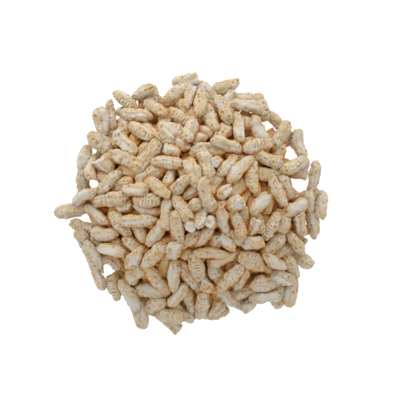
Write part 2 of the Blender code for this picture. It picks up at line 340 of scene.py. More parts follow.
# Lumps: how many waves of each length in mm, and their height in mm.
Waves = namedtuple("Waves", "count length height")
LUMPS = [Waves(9, 5.5, 0.2), Waves(14, 2.4, 0.085), Waves(18, 1.1, 0.025)]
WAVE_SPREAD = (0.7, 1.4)  # how many times its length a wave may be
FACETS = (5, 8)  # a grain's lengthwise ridges
FACET_HEIGHT = (0.04, 0.12)

# The middle line that a grain's panel and rows follow: how far it lies off the top and how far it wanders,
# in radians, and how fast, in radians a mm.
MIDDLE_SPREAD = 0.6
WANDER = 0.2
WANDER_PACE = (0.3, 0.7)
ROW_WIDTH = 1.25  # from one row of small pores to the next
PORE_STEP = 1.0  # along a row
BARE_OF_PORES = 0.6  # the share of small pores missing where all the large pits are

# The kinds of grain: each kind's share of the whole grains, the share of its pits that are missing, the
# height of its ribs, the height of its smooth panel or, below zero, the depth of its crease, half the
# panel's width, whether a ladder of wide rungs runs along it, and how far the grain bends. For a grain that
# ends in a cut: the whole grain's fullness at that end, and how brown, ragged and slanting the cut is.
KIND_FIELDS = "name share bare ribs panel panel_width ladder bend cut_end spot ragged slant"
Kind = namedtuple("Kind", KIND_FIELDS, defaults=(0, 0.4, 0, 0, 0, False, 0, None, 0, 1, 0.05))
KINDS = [
    Kind("smooth_grains", share=0.22, bare=0.65, ribs=0.02, panel=0.12, panel_width=1.2, bend=0.3),
    Kind("pitted_grains", share=0.24, bare=0.15, ribs=0.02, bend=0.3),
    Kind("ribbed_grains", share=0.18, ribs=0.07, panel_width=0.6, ladder=True, bend=0.3),
    Kind("creased_grains", share=0.2, bare=0.35, ribs=0.02, panel=-0.5, panel_width=0.7, bend=0.3),
    Kind("bent_grains", share=0.16, bare=0.45, ribs=0.04, panel=-0.2, panel_width=0.8, bend=1.1),
]
BROKEN_FORM = {"ribs": 0.03, "panel": 0.1, "panel_width": 0.8, "bend": 0.2}
BROKEN_KIND = Kind("broken_grains", **BROKEN_FORM, cut_end=2.6, spot=0.5, ragged=2.0, slant=0.4)
NARROW_UPRIGHT = Kind("upright_grains", ribs=0.03, cut_end=1.7)
WIDE_UPRIGHT = Kind("upright_grains", ribs=0.03, cut_end=2.8, spot=0.85)
ROUND_UPRIGHT = Kind("upright_grains", bare=0.15, ribs=0.02)
UPRIGHT_KINDS = [NARROW_UPRIGHT, NARROW_UPRIGHT, WIDE_UPRIGHT, ROUND_UPRIGHT]
BURIED_KIND = Kind("buried_grains", bare=1.0, bend=0.3)
CRUMB_KIND = Kind("crumbs", bare=0.5, bend=0.2)
BROKEN_LIMIT = 0.8 * GRAIN_LENGTH / 2  # a grain with less than this half length is a broken one

# Large pits: each one's place along the axis, its angle, its radius along the grain, how many times wider it
# is across, and its depth. Pits stray from their row by radians.
Pit = namedtuple("Pit", "along turn radius widening depth")
PIT_RADIUS = (0.3, 0.6)
PIT_WIDENING = (1.0, 1.7)
PIT_DEPTH = (0.06, 0.3)
PIT_STEP = (1.3, 3.0)
PIT_STRAYING = 0.07
PIT_ROW_STEP = (1.2, 1.7)
PIT_REACH = (-0.9, 0.92)  # in half lengths of the grain
PIT_EDGE_HEIGHT = 0.25  # of the raised edge, in pit depths
PIT_EDGE_RADIUS = 1.6  # in pit radii
PIT_EDGE_NARROWNESS = 2.5
THIN_TIP = 0.3  # pits get no wider where a grain is thinner than this share of its thickness

# The rungs of a ladder, as pits on the middle line.
RUNG_RADIUS = 0.36
RUNG_RADIUS_CHANGE = (0.8, 1.1)
RUNG_WIDENING = 2.2
RUNG_WIDENING_CHANGE = (0.6, 1.1)
RUNG_DEPTH = 0.3
RUNG_STRAYING = 0.1
LADDER_REACH = 0.8  # in half lengths

RIB_STEP = (0.95, 1.25)
RIB_REACH = 1.6  # to each side of the middle line
PANEL_REACH = 0.88  # in half lengths
PANEL_WIDTH_CHANGE = (0.7, 1.2)
PANEL_HEIGHT_CHANGE = (0.6, 1.2)
PANEL_EDGE = 0.5
LIP_WIDTH = 0.35  # of the raised lips of a panel or crease
LIP_HEIGHT = 0.25  # in heights of the panel

# The germ's hollow in one tip.
GERM_SIZE = (0.45, 0.8)
GERM_SPREAD = 0.6  # how far off the axis it may lie
GERM_START = 0.7  # in half lengths
GERM_DEPTH = (0.3, 0.9)

# A broken grain's face.
CUT_PLACE = (0.0, 0.5)  # where the face lies along the whole grain, from its middle to its end
FACE_RINGS = 9
FIRST_RING = 0.02  # about how far it lies from the other end, in half lengths
CRUMB_LUMPS = [Waves(10, 2.2, 0.08), Waves(14, 0.9, 0.05)]
SPOT_PLACE = (0.3, -0.2)
SPOT_SPREAD = (0.5, 1.2)
SPOT_DEPTH = 0.1
SLANTED_STRETCH = 2.0  # of a grain's length, where the rings slant with the face

TIP_START = 0.6  # of the toasted tip, in half lengths
BEND_MIDDLE = 0.35  # a bend moves the middle back by this share of it


def ring_places(rings):
    """Places along the axis from -1 to 1, closer together towards the ends."""
    even = np.linspace(-1.0, 1.0, rings + 2)[1:-1]
    return (1 - END_CROWDING) * even + END_CROWDING * np.sin(even * math.pi / 2)


def side_angles(sides):
    """Angles round the axis from the top, closer together on the upper side."""
    even = np.arange(sides) / sides
    return TURN * even - UPPER_SIDE_FAVOUR * np.sin(TURN * even)


def radius_at(places, fullness, taper):
    """A grain's radius at these places along its axis, as a share of the thickest."""
    ends = np.where(places < 0, *fullness)
    return (1 - np.abs(places) ** ends) ** END_POWER * (1 + taper * places)


def profile(rings, fullness, taper, cut):
    """The rings' places along the axis from -1 to 1, and their radius there as a share of the thickest.

    A cut grain ends in a flat face: its last rings lie in the cut, one inside the other.
    """
    if cut is None:
        places = ring_places(rings)
        return places, radius_at(places, fullness, taper)
    whole = ring_places(rings - FACE_RINGS)
    from_first = whole - whole[0] + FIRST_RING
    places = -1 + from_first * (cut + 1) / from_first[-1]
    radius = radius_at(places, fullness, taper)
    inner = 1 - np.arange(1, FACE_RINGS + 1) / (FACE_RINGS + 1)
    places = np.concatenate([places, np.full(FACE_RINGS, cut)])
    return places, np.concatenate([radius, radius[-1] * inner])


def waves_at(points, waves, draw):
    """Smooth lumps: a sum of plane waves with random headings."""
    total = np.zeros(len(points))
    for layer in waves:
        headings = draw.normal(size=(layer.count, 3))
        headings /= np.linalg.norm(headings, axis=1)[:, None]
        numbers = TURN / (layer.length * draw.uniform(*WAVE_SPREAD, layer.count))
        phases = draw.uniform(0, TURN, layer.count)
        heights = np.sin(points @ (headings * numbers[:, None]).T + phases)
        total += layer.height * heights.sum(axis=1) * math.sqrt(2 / layer.count)
    return total


def wrapped(angle):
    """The same angle between half a turn back and half a turn on."""
    return (angle + math.pi) % TURN - math.pi


# A grain's round form: its points, which way is out at each, their angle from the top and about how far from
# the axis they lie, half its length, width and thickness, and where from -1 to 1 it is cut, or None.
Form = namedtuple("Form", "points outward angle radius half cut")


def round_form(half, kind, mesh_size, draw):
    """The round form of a grain, with its points ring by ring and then at the two ends."""
    rings, sides = mesh_size
    a, b, c = half
    b *= draw.uniform(*PUFFING)
    cut = None
    if kind.cut_end is not None:
        cut = float(np.clip(2 * a / (GRAIN_LENGTH / 2) - 1, *CUT_PLACE))
        a = 2 * a / (1 + cut)
    fullness = draw.uniform(*END_FULLNESS, 2)
    if cut is not None:
        fullness[1] = kind.cut_end
    places, radius = profile(rings, fullness, TAPER * draw.uniform(-1, 1), cut)
    angles = side_angles(sides)
    power = draw.uniform(*SECTION_FULLNESS)
    section = (np.abs(np.sin(angles)) ** power + np.abs(np.cos(angles)) ** power) ** (-1 / power)
    ring, angle = np.meshgrid(np.arange(rings), angles, indexing="ij")
    ring, angle = ring.ravel(), angle.ravel()
    side = np.tile(np.arange(sides), rings)
    x = places[ring] * a
    y = radius[ring] * section[side] * np.sin(angle) * b
    z = radius[ring] * section[side] * np.cos(angle) * c
    far_end = a if cut is None else a * cut
    points = np.concatenate([np.stack([x, y, z], axis=1), [[-a, 0.0, 0.0], [far_end, 0.0, 0.0]]])
    outward = points / np.array([a * a, b * b, c * c])
    outward /= np.maximum(np.linalg.norm(outward, axis=1), SMALL)[:, None]
    angle = np.concatenate([angle, [0.0, 0.0]])
    radius = np.concatenate([radius[ring], [0.0, 0.0]]) * ((b + c) / 2)
    return Form(points, outward, angle, radius, (a, b, c), cut)


def pit_rows(kind, half, middle, draw):
    """A grain's pits, in rows that run along it on both sides of its panel, and its ladder's rungs."""
    thickness = (half[1] + half[2]) / 2
    row_step = draw.uniform(*PIT_ROW_STEP) / thickness
    edge = (kind.panel_width + LIP_WIDTH) / thickness
    pits = []
    for row in np.arange(middle + edge, middle + TURN - edge, row_step):
        along = PIT_REACH[0] * half[0] + draw.uniform(0, 1)
        while along < PIT_REACH[1] * half[0]:
            if draw.random() > kind.bare:
                turn = row + draw.normal(0, PIT_STRAYING)
                radius = draw.uniform(*PIT_RADIUS)
                depth = draw.uniform(*PIT_DEPTH)
                pits.append(Pit(along, turn, radius, draw.uniform(*PIT_WIDENING), depth))
            along += draw.uniform(*PIT_STEP)
    if kind.ladder:
        reach = LADDER_REACH * half[0]
        for rung in np.arange(-reach, reach, draw.uniform(*RIB_STEP)):
            along = rung + draw.normal(0, RUNG_STRAYING)
            radius = RUNG_RADIUS * draw.uniform(*RUNG_RADIUS_CHANGE)
            widening = RUNG_WIDENING * draw.uniform(*RUNG_WIDENING_CHANGE)
            pits.append(Pit(along, middle, radius, widening, RUNG_DEPTH))
    return pits


def sink_pits(rise, form, pits, wander):
    """Sinks the pits, with a raised edge round each. Returns how deep in a pit each point lies."""
    pitted = np.zeros(len(rise))
    thickness = (form.half[1] + form.half[2]) / 2
    radius = np.maximum(form.radius, THIN_TIP * thickness)
    for pit in pits:
        off_x = (form.points[:, 0] - pit.along) / pit.radius
        off_y = wrapped(form.angle - pit.turn - wander) * radius / (pit.radius * pit.widening)
        distance = off_x**2 + off_y**2
        near = np.exp(-distance)
        edge = np.exp(-((np.sqrt(distance) - PIT_EDGE_RADIUS) ** 2) * PIT_EDGE_NARROWNESS)
        rise -= pit.depth * near
        rise += PIT_EDGE_HEIGHT * pit.depth * edge
        pitted = np.maximum(pitted, near * (0.5 + 2 * pit.depth))
    return pitted


def raise_panel(rise, form, kind, off, draw):
    """Raises the panel or sinks the crease, with a lip on each side. Returns its share at each point."""
    lens = np.sqrt(np.clip(1 - (form.points[:, 0] / (PANEL_REACH * form.half[0])) ** 2, 0, 1))
    width = kind.panel_width * draw.uniform(*PANEL_WIDTH_CHANGE) * lens
    panel = np.clip((width - np.abs(off)) / PANEL_EDGE + 0.5, 0, 1) * lens
    panel = panel * panel * (3 - 2 * panel)
    height = kind.panel * draw.uniform(*PANEL_HEIGHT_CHANGE)
    lips = np.exp(-(((np.abs(off) - width - LIP_WIDTH) / LIP_WIDTH) ** 2)) * lens
    rise += height * panel + LIP_HEIGHT * abs(height) * lips
    return panel * (kind.panel_width > 0)


def broken_face(points, kind, draw):
    """A cut's ragged surface, as heights out of the cut, and its brown spot."""
    off_y, off_z = points[:, 1] - SPOT_PLACE[0], points[:, 2] - SPOT_PLACE[1]
    spot = np.exp(-(off_y**2) / SPOT_SPREAD[0] - off_z**2 / SPOT_SPREAD[1]) * kind.spot
    return kind.ragged * waves_at(points, CRUMB_LUMPS, draw) - SPOT_DEPTH * spot, spot


def sink_germ(points, end, a, draw):
    """Sinks the germ's hollow into an end of the grain, -1 or 1. Returns how deep in it each point lies."""
    size = draw.uniform(*GERM_SIZE)
    y, z = draw.uniform(-GERM_SPREAD, GERM_SPREAD, 2)
    reach = np.hypot(points[:, 1] - y, points[:, 2] - z) / size
    germ = np.exp(-(reach**2)) * (points[:, 0] * end > GERM_START * a)
    points[:, 0] -= end * germ * draw.uniform(*GERM_DEPTH)
    return germ


def grain_shape(half, kind, mesh_size, draw):
    """The points of one grain, ring by ring and then the two ends, with their places in the rows of small
    pores, along them and across, and what else the grain's finish needs there.
    """
    rings, sides = mesh_size
    form = round_form(half, kind, mesh_size, draw)
    a, b, c = form.half
    along = form.points[:, 0]
    thickness = (b + c) / 2

    rise = waves_at(form.points, LUMPS, draw)
    middle = draw.normal(0, MIDDLE_SPREAD)
    wander = WANDER * np.sin(along * draw.uniform(*WANDER_PACE) + draw.uniform(0, TURN))
    turned = wrapped(form.angle - middle - wander)
    off = turned * thickness
    rise += draw.uniform(*FACET_HEIGHT) * np.cos(draw.integers(*FACETS) * turned)
    row_count = round(thickness * TURN / ROW_WIDTH)
    rows = np.stack([along / PORE_STEP, turned * row_count / TURN, np.zeros(len(along))], axis=1)
    pitted = sink_pits(rise, form, pit_rows(kind, form.half, middle, draw), wander)
    rib_pace = TURN / draw.uniform(*RIB_STEP)
    rib_phase = draw.uniform(0, TURN)
    rise += kind.ribs * np.exp(-((off / RIB_REACH) ** 2)) * np.sin(along * rib_pace + rib_phase)
    panel = raise_panel(rise, form, kind, off, draw)

    face = np.zeros(len(form.points))
    outward = form.outward
    if form.cut is not None:
        face[(rings - FACE_RINGS) * sides : rings * sides] = 1.0
        face[-1] = 1.0
        ragged, spot = broken_face(form.points, kind, draw)
        pitted = np.where(face > 0, spot, pitted)
        rise = np.where(face > 0, ragged, rise)
        outward = np.where(face[:, None] > 0, (1.0, 0.0, 0.0), outward)
        panel = np.where(face > 0, 0.0, panel)
    points = form.points + outward * rise[:, None]
    germ_end = -1 if form.cut is not None or draw.random() < 0.5 else 1
    germ = sink_germ(points, germ_end, a, draw)

    if form.cut is not None:
        slant = draw.uniform(-1, 1, 2) * kind.slant
        near_cut = np.clip((points[:, 0] - form.cut * a) / SLANTED_STRETCH + 1, 0, 1)
        points[:, 0] += near_cut * (points[:, 1:] @ slant)
        points[:, 0] -= (form.cut - 1) * a / 2
    share = points[:, 0] / a
    tip = np.clip((np.abs(share) - TIP_START) / (1 - TIP_START), 0, 1) * (face == 0)
    points[:, 1] += kind.bend * draw.uniform(-1, 1) * (share**2 - BEND_MIDDLE)
    points[:, 2] += kind.bend * 0.5 * draw.uniform(-1, 1) * (share**2 - BEND_MIDDLE)
    return points, rows, {"pit": pitted, "panel": panel, "germ": germ, "face": face, "tip": tip}


def grain_faces(rings, sides):
    """The faces of one grain, quads between its rings and a fan on each end, and where each of their corners
    lies on the grain's own square of the map: along it, and round it.
    """
    faces, corners = [], []
    for ring in range(rings - 1):
        here, there = ring * sides, (ring + 1) * sides
        low, high = (ring + 1) / (rings + 1), (ring + 2) / (rings + 1)
        for side in range(sides):
            after = (side + 1) % sides
            first, second = side / sides, (side + 1) / sides
            faces.append((here + side, there + side, there + after, here + after))
            corners += [(low, first), (high, first), (high, second), (low, second)]
    last = (rings - 1) * sides
    low, high = 1 / (rings + 1), rings / (rings + 1)
    for side in range(sides):
        after = (side + 1) % sides
        first, second = side / sides, (side + 1) / sides
        faces += [(rings * sides, side, after), (rings * sides + 1, last + after, last + side)]
        corners += [(0.0, (first + second) / 2), (low, first), (low, second)]
        corners += [(1.0, (first + second) / 2), (high, second), (high, first)]
    return faces, np.array(corners)


# -------- The pieces: all grains of a kind in one mesh.

TABLE_CLEARANCE = 0.02
GAP_OPENING = 1.35  # the radius of the gap in the grains, in radii of its bare spot
MAP_MARGIN = 0.06  # round a grain's square of the map, as a share of it
PLACE_SPREAD = 500  # how far apart the grains lie in the texture

CRUMB_SEED = 23
CRUMB_CLEARANCE = 1.4  # from the line through the rim grains' middles
CRUMB_HOLLOW = 1.0  # the least depth of a crumb's hollow
CRUMB_HALF_SIZES = ((0.6, 1.3), (0.4, 0.8), (0.3, 0.6))
CRUMB_SPACING = 5.5
BIT_HALF_SIZES = ((1.4, 2.4), (1.0, 1.5), (0.8, 1.3))
BIT_SPACING = 1.6
CRUMB_RISE = 0.5  # of its middle, in half thicknesses
MOST_CRUMB_PITCH = 0.5
CRUMB_NUMBERS = 1000  # a crumb's number is more than any grain's

SKY_DIRECTIONS = 16
SKY_DISTANCES = (0.7, 1.0, 1.6, 2.4, 3.5, 5.0, 7.0, 10.0)
KEY_BEARING = math.radians(101)  # the side that the key light comes from
KEY_FAVOUR = 0.35  # how much more light comes from there
TABLE_LIGHT = 0.7
TABLE_LIGHT_REACH = 6.0  # in from the rim


def placed(points, grain):
    """A grain's points where it lies in the heap, never under the table or over a bare spot."""
    turned = Matrix.Rotation(grain.heading, 3, "Z") @ Matrix.Rotation(-grain.pitch, 3, "Y")
    points = points @ np.array(turned).T + (grain.x, grain.y, grain.z)
    points[:, 2] += max(0.0, TABLE_CLEARANCE - points[:, 2].min())
    for spot in BARE_SPOTS:
        off = points[:, :2] - (spot.x, spot.y)
        distance = np.maximum(np.hypot(off[:, 0], off[:, 1]), SMALL)
        wider = np.hypot(distance, GAP_OPENING * spot.radius)
        points[:, :2] = (spot.x, spot.y) + off * (wider / distance)[:, None]
    return points


def rim_nearness(points):
    """How close each point lies to the heap's rim: 1 at the rim grains' middles, less and less inward."""
    inward = rim_radius(points[:, 0], points[:, 1]) - np.hypot(points[:, 0], points[:, 1])
    return np.exp(-np.maximum(inward, 0) / TABLE_LIGHT_REACH)


def open_sky(points, pile):
    """The share of the sky's and the table's light that reaches each point past the grains round it."""
    total = np.zeros(len(points))
    for turn in np.arange(SKY_DIRECTIONS) * TURN / SKY_DIRECTIONS:
        steepest = np.zeros(len(points))
        for distance in SKY_DISTANCES:
            step = (distance * math.cos(turn), distance * math.sin(turn))
            cells = np.rint((points[:, :2] + step + FIELD_REACH) / CELL).astype(int)
            cells = cells.clip(0, len(pile.axis) - 1)
            rise = pile.top[cells[:, 0], cells[:, 1]] - points[:, 2]
            steepest = np.maximum(steepest, rise / distance)
        total += (1 + KEY_FAVOUR * math.cos(turn - KEY_BEARING)) / (1 + steepest**2)
    sky = total / SKY_DIRECTIONS
    return sky + (1 - sky) * TABLE_LIGHT * rim_nearness(points)


def new_object(name, data):
    """An object in the scene with this mesh, lamp or camera."""
    obj = bpy.data.objects.new(name, data)
    bpy.context.scene.collection.objects.link(obj)
    return obj


def mesh_object(name, points, faces):
    """A smooth object with these points in mm."""
    mesh = bpy.data.meshes.new(name)
    mesh.from_pydata(points * MM, [], faces)
    mesh.shade_smooth()
    return new_object(name, mesh)


def joined_grains(name, members, mesh_size, pile):
    """One object that holds these grains. Members are grains with their kind and their number."""
    faces, corners = grain_faces(*mesh_size)
    tiles = math.ceil(math.sqrt(len(members)))
    all_points, all_faces, all_corners = [], [], []
    values = defaultdict(list)
    for order, (number, grain, kind) in enumerate(members):
        draw = np.random.default_rng((FORM_SEED, number))
        shape, rows, finish = grain_shape(grain.half, kind, mesh_size, draw)
        points = placed(shape, grain)
        start = len(all_points) * len(points)
        all_points.append(points)
        all_faces += [tuple(corner + start for corner in face) for face in faces]
        tile = np.array([order % tiles, order // tiles])
        all_corners.append((tile + MAP_MARGIN / 2 + corners * (1 - MAP_MARGIN)) / tiles)
        for key, value in finish.items():
            values[key].append(value)
        values["tone"].append(np.full(len(points), draw.uniform()))
        values["dotted"].append(np.full(len(points), 1 - BARE_OF_PORES * kind.bare))
        values["open_sky"].append(open_sky(points, pile))
        values["near_rim"].append(rim_nearness(points))
        values["grain_place"].append(shape + draw.uniform(-PLACE_SPREAD, PLACE_SPREAD, 3))
        rows[:, :2] += np.rint(draw.uniform(-PLACE_SPREAD, PLACE_SPREAD, 2))
        values["row_place"].append(rows)
    obj = mesh_object(name, np.concatenate(all_points), all_faces)
    mesh = obj.data
    uv = mesh.uv_layers.new(name="OFBake")
    uv.uv.foreach_set("vector", np.concatenate(all_corners).astype(np.float32).ravel())
    normals = np.empty(3 * len(mesh.vertices), np.float32)
    mesh.vertices.foreach_get("normal", normals)
    values["upward"] = [normals[2::3]]
    for key, parts in values.items():
        data = np.concatenate(parts).astype(np.float32)
        form, field = ("FLOAT", "value") if data.ndim == 1 else ("FLOAT_VECTOR", "vector")
        mesh.attributes.new(key, form, "POINT").data.foreach_set(field, data.ravel())
    return obj


def sorted_grains(pile):
    """The grains by kind: each kind's list of grains with their number and kind."""
    draw = np.random.default_rng(FORM_SEED)
    shown = pile.areas_shown() >= SHOWN_AREA
    shares = np.cumsum([kind.share for kind in KINDS])
    groups = {kind.name: [] for kind in (*KINDS, BROKEN_KIND, NARROW_UPRIGHT, BURIED_KIND)}
    for number, grain in enumerate(pile.grains):
        kind = KINDS[int(np.searchsorted(shares, draw.uniform(0, shares[-1])))]
        if grain.half[0] < BROKEN_LIMIT:
            kind = BROKEN_KIND
        if grain.pitch == UPRIGHT_PITCH:
            kind = UPRIGHT_KINDS[number - len(RIM_GRAINS)]
        elif not shown[number] and number >= len(RIM_GRAINS):
            kind = BURIED_KIND
        groups[kind.name].append((number, grain, kind))
    return groups


def crumbs(pile):
    """Small bits of grain: on the table where it would show inside the rim, and in the heap's hollows."""
    draw = np.random.default_rng(CRUMB_SEED)
    inside = pile.radius < rim_radius(pile.x, pile.y) - CRUMB_CLEARANCE
    to_gap = [np.hypot(pile.x - spot.x, pile.y - spot.y) - GAP_OPENING * spot.radius for spot in BARE_SPOTS]
    off_gaps = np.min(to_gap, axis=0) > BIT_HALF_SIZES[0][1]
    on_table = np.argwhere(inside & (pile.top == 0) & off_gaps)
    hollow = smoothed(pile.top) - pile.top > CRUMB_HOLLOW
    in_heap = np.argwhere(inside & (pile.top > 0) & hollow & off_gaps)
    bits = (on_table, BIT_SPACING, BIT_HALF_SIZES)
    small_crumbs = (in_heap, CRUMB_SPACING, CRUMB_HALF_SIZES)
    members = []
    for spots, spacing, sizes in (bits, small_crumbs):
        for row, column in draw.permutation(spots):
            x, y = pile.axis[row], pile.axis[column]
            if all(math.hypot(x - other.x, y - other.y) > spacing for _, other, _ in members):
                half = tuple(draw.uniform(*size) for size in sizes)
                height = pile.top[row, column] + CRUMB_RISE * half[2]
                heading = draw.uniform(0, TURN)
                pitch = draw.uniform(-MOST_CRUMB_PITCH, MOST_CRUMB_PITCH)
                crumb = Grain(x, y, height, heading, pitch, half)
                members.append((CRUMB_NUMBERS + len(members), crumb, CRUMB_KIND))
    return members


# -------- The core under the grains.

CORE_SEED = 22
CORE_RINGS = 30
CORE_SIDES = 120
CORE_LUMPS = [Waves(14, 5.0, 0.5), Waves(16, 2.6, 0.25)]


def core_object():
    """The bare heap that the first grains lie on, lumpy as if of grains, with a flat base."""
    draw = np.random.default_rng(CORE_SEED)
    radii = np.linspace(0, 1, CORE_RINGS + 1)[1:]
    fall_to_foot = (HIDDEN_CORE_DEPTH - GRAIN_THICKNESS) / math.tan(REPOSE_ANGLE)
    foot = math.sqrt((math.hypot(HEAP_RADIUS, CREST_ROUNDING) - fall_to_foot) ** 2 - CREST_ROUNDING**2)
    angles = np.arange(CORE_SIDES) / CORE_SIDES * TURN
    radius, angle = np.meshgrid(radii * foot, angles, indexing="ij")
    x, y = (radius * np.cos(angle)).ravel(), (radius * np.sin(angle)).ravel()
    z = np.asarray(heap_surface(radius.ravel()) - HIDDEN_CORE_DEPTH)
    points = np.stack([x, y, z], axis=1)
    points = np.concatenate([points, [[0, 0, float(heap_surface(0.0)) - HIDDEN_CORE_DEPTH]]])
    points[:, 2] += waves_at(points, CORE_LUMPS, draw)
    last_ring = (CORE_RINGS - 1) * CORE_SIDES
    points[last_ring : last_ring + CORE_SIDES, 2] = TABLE_CLEARANCE
    points[:, 2] = np.maximum(points[:, 2], TABLE_CLEARANCE)
    faces = []
    top = CORE_RINGS * CORE_SIDES
    for side in range(CORE_SIDES):
        after = (side + 1) % CORE_SIDES
        faces.append((top, side, after))
        for ring in range(CORE_RINGS - 1):
            here, there = ring * CORE_SIDES, (ring + 1) * CORE_SIDES
            faces.append((here + side, there + side, there + after, here + after))
    faces.append(tuple(last_ring + side for side in reversed(range(CORE_SIDES))))
    return mesh_object("heap_core", points, faces)


# -------- Materials. Colours are red, green and blue in linear light.

PALE = (0.562, 0.526, 0.462)
CREAM = (0.554, 0.479, 0.355)
TAN = (0.52, 0.396, 0.225)
TOASTED = (0.44, 0.32, 0.165)  # the ends of a grain
WHITE_CRUMB = (0.572, 0.546, 0.5)
PIT_TAN = (0.49, 0.31, 0.1)
PIT_BROWN = (0.3, 0.135, 0.035)
PORE_ORANGE = (0.47, 0.272, 0.078)
GOLDEN_SHADE = (0.65, 0.37, 0.116)  # where little light reaches a grain
DEEP_SHADE = (0.66, 0.27, 0.07)  # where next to none does
# Painted shade: a greyer, less golden colour on the steep sides of the rim's grains.
RIM_SIDE_SHADE = (0.52, 0.483, 0.418)  # the steep sides of the rim's grains
# Painted shade for the heap's core: brown and golden deep in the heap, paler at its foot by the table.
CORE_SHADE_BROWN = (0.55, 0.25, 0.08)
CORE_SHADE_GOLDEN = (0.62, 0.35, 0.14)
CORE_FOOT = (0.5, 0.34, 0.2)

# Scales of the grains' textures, in features a mm.
PATCH_SCALE = 0.32
MOTTLE_SCALE = 1.5
SPOT_SCALE = 0.95
SPECK_SCALE = 1.3
WRINKLE_SCALES = (2.4, 0.8, 0.8)
GRIT_SCALE = 3.0
DIMPLE_SCALE = 2.3
ROW_RANDOMNESS = 0.4  # how far the small pores stray from their rows
RICE_RELIEF = 0.2
SCATTER_REACH = 1.3  # how far red light spreads in a grain
SCATTER_SHARES = (1.0, 0.72, 0.5)  # how far red, green and blue light spread, as shares of that

CORE_LUMP_SCALE = 260.0  # features a metre
CORE_RELIEF = 0.3
CORE_FOOT_HEIGHTS = (3.0, 0.5)  # the core gets paler from one down to the other


class Nodes:
    """Short calls for the nodes of one new material."""

    def __init__(self, name):
        self.material = bpy.data.materials.new(name)
        self.material.use_nodes = True
        self.tree = self.material.node_tree

    def put(self, value, socket):
        if isinstance(value, bpy.types.NodeSocket):
            self.tree.links.new(value, socket)
        else:
            socket.default_value = value

    def fill(self, node, inputs):
        """Gives a node its inputs, which are other nodes' outputs or constants."""
        for key, value in inputs.items():
            self.put(value, node.inputs[key])

    def node(self, kind, inputs=(), **settings):
        made = self.tree.nodes.new("ShaderNode" + kind)
        for key, value in settings.items():
            setattr(made, key, value)
        self.fill(made, dict(inputs))
        return made

    def shaded_by(self, inputs):
        """The material, with these inputs of its shader."""
        self.fill(self.tree.nodes["Principled BSDF"], inputs)
        return self.material

    def attribute(self, name, output="Fac"):
        return self.node("Attribute", attribute_name=name).outputs[output]

    def noise(self, place, scale, detail=2.0, roughness=0.5):
        inputs = {"Vector": place, "Scale": scale, "Detail": detail, "Roughness": roughness}
        return self.node("TexNoise", inputs).outputs["Fac"]

    def cells(self, place, scale, randomness=1.0, dimensions="3D"):
        """Scattered dots: how far each place is from the nearest, and that dot's three random numbers."""
        inputs = {"Vector": place, "Scale": scale, "Randomness": randomness}
        made = self.node("TexVoronoi", inputs, voronoi_dimensions=dimensions)
        numbers = self.node("SeparateColor", {"Color": made.outputs["Color"]})
        return made.outputs["Distance"], numbers.outputs

    def fitted(self, value, low, high, to_low=0.0, to_high=1.0):
        """The value carried smoothly from one range over to another."""
        inputs = {"Value": value, "From Min": low, "From Max": high, "To Min": to_low, "To Max": to_high}
        made = self.node("MapRange", inputs, clamp=True)
        made.interpolation_type = "SMOOTHSTEP"
        return made.outputs["Result"]

    def layered(self, color, *layers):
        """A colour with others laid over it, each with its share."""
        for share, layer in layers:
            made = self.node("Mix", {0: share}, data_type="RGBA")
            for index, value in ((6, color), (7, layer)):
                self.put((*value, 1.0) if isinstance(value, tuple) else value, made.inputs[index])
            color = made.outputs[2]
        return color

    def math(self, operation, first, second):
        return self.node("Math", {0: first, 1: second}, operation=operation).outputs[0]

    def product(self, first, *others):
        for value in others:
            first = self.math("MULTIPLY", first, value)
        return first


def crumb_color(nodes, place, mottle, white):
    """Cream with tan and pale patches, white where the crumb shows, and toasted at the tips."""
    patches = nodes.noise(place, PATCH_SCALE)
    tan_patches = nodes.fitted(patches, 0.42, 0.66, 0.0, 0.55)
    tan_mottle = nodes.fitted(mottle, 0.46, 0.7, 0.0, 0.4)
    tone = nodes.fitted(nodes.attribute("tone"), 0.0, 1.0, 0.6, 1.2)
    return nodes.layered(
        CREAM,
        (nodes.product(nodes.math("ADD", tan_patches, tan_mottle), tone), TAN),
        (nodes.fitted(patches, 0.5, 0.35, 0.0, 0.8), PALE),
        (nodes.fitted(white, 0.35, 1.0, 0.0, 0.8), WHITE_CRUMB),
        (nodes.product(nodes.attribute("tip"), nodes.fitted(mottle, 0.35, 0.6, 0.2, 1.0), 0.6), TOASTED),
    )


def scattered_spots(nodes, place, white):
    """Spots all over a grain, fewer in its white crumb: how strong they are, and how dark."""
    distance, numbers = nodes.cells(place, SPOT_SCALE)
    strength = nodes.fitted(numbers[0], 0.35, 0.6)
    spots = nodes.product(nodes.fitted(distance, 0.25, 0.13), strength, nodes.fitted(white, 0.6, 0.2))
    return spots, nodes.product(spots, nodes.fitted(numbers[1], 0.7, 0.9, 0.0, 0.8))


def pore_rows(nodes, white):
    """The rows of small pores along a grain: how strong they are, and their colour."""
    rows = nodes.attribute("row_place", "Vector")
    distance, numbers = nodes.cells(rows, 1.0, ROW_RANDOMNESS, "2D")
    here = nodes.math("LESS_THAN", numbers[0], nodes.attribute("dotted"))
    width = nodes.fitted(numbers[1], 0.0, 1.0, 0.16, 0.42)
    strength = nodes.fitted(numbers[2], 0.0, 1.0, 0.5, 1.1)
    pores = nodes.fitted(nodes.math("DIVIDE", distance, width), 1.1, 0.5)
    pores = nodes.product(pores, nodes.product(here, strength), nodes.fitted(white, 0.7, 0.2))
    brown = nodes.fitted(numbers[2], 0.72, 0.9, 0.0, 0.7)
    return pores, nodes.layered(PORE_ORANGE, (brown, PIT_BROWN))


def specks(nodes, place):
    """A few small dark specks."""
    distance, numbers = nodes.cells(place, SPECK_SCALE)
    return nodes.product(nodes.fitted(distance, 0.22, 0.12), nodes.fitted(numbers[0], 0.72, 0.8, 0.0, 0.8))


